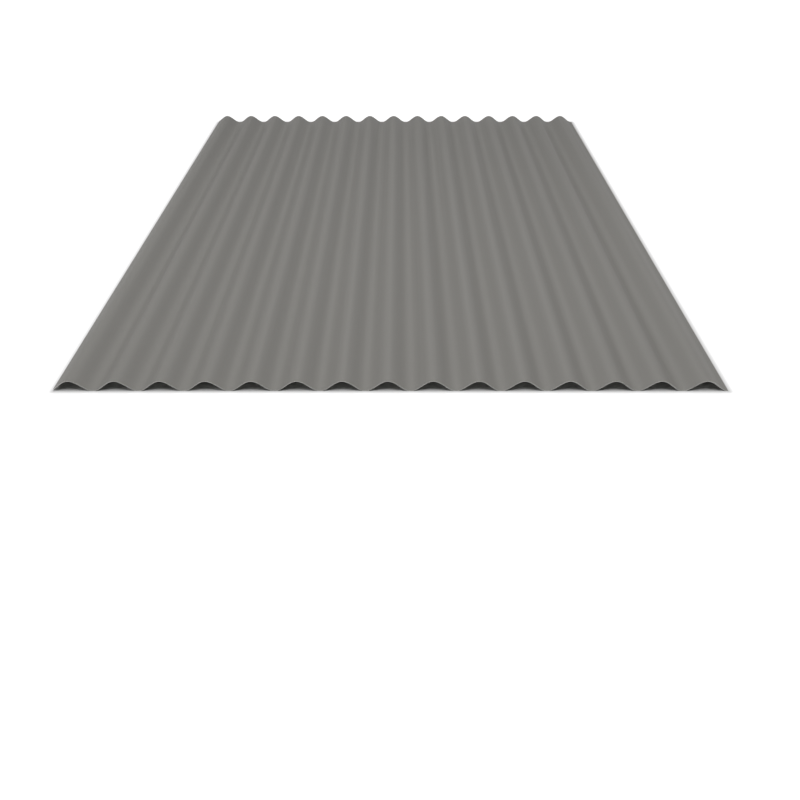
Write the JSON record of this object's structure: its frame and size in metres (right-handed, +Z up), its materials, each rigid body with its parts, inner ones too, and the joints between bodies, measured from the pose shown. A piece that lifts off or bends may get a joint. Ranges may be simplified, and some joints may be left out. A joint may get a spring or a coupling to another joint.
{
  "type": "corrugated metal sheet",
  "caption": "Thin steel sheet rolled into even sine waves from side to side, with a lap lip along each long edge, for covering roofs, walls and fences.",
  "frame": {"origin": "middle of the underside, at the level of the troughs' lowest lines", "axes": "+Y along the waves, towards the back end; +X across the waves, towards the lip that goes under the next sheet; +Z up, out of the weather face"},
  "size_m": [1.1301, 1.5, 0.0195],
  "materials": {
    "coil_coated_steel": "satin"
  },
  "bodies": {
    "root": {"corrugated_sheet": "coil_coated_steel"}
  },
  "joints": []
}
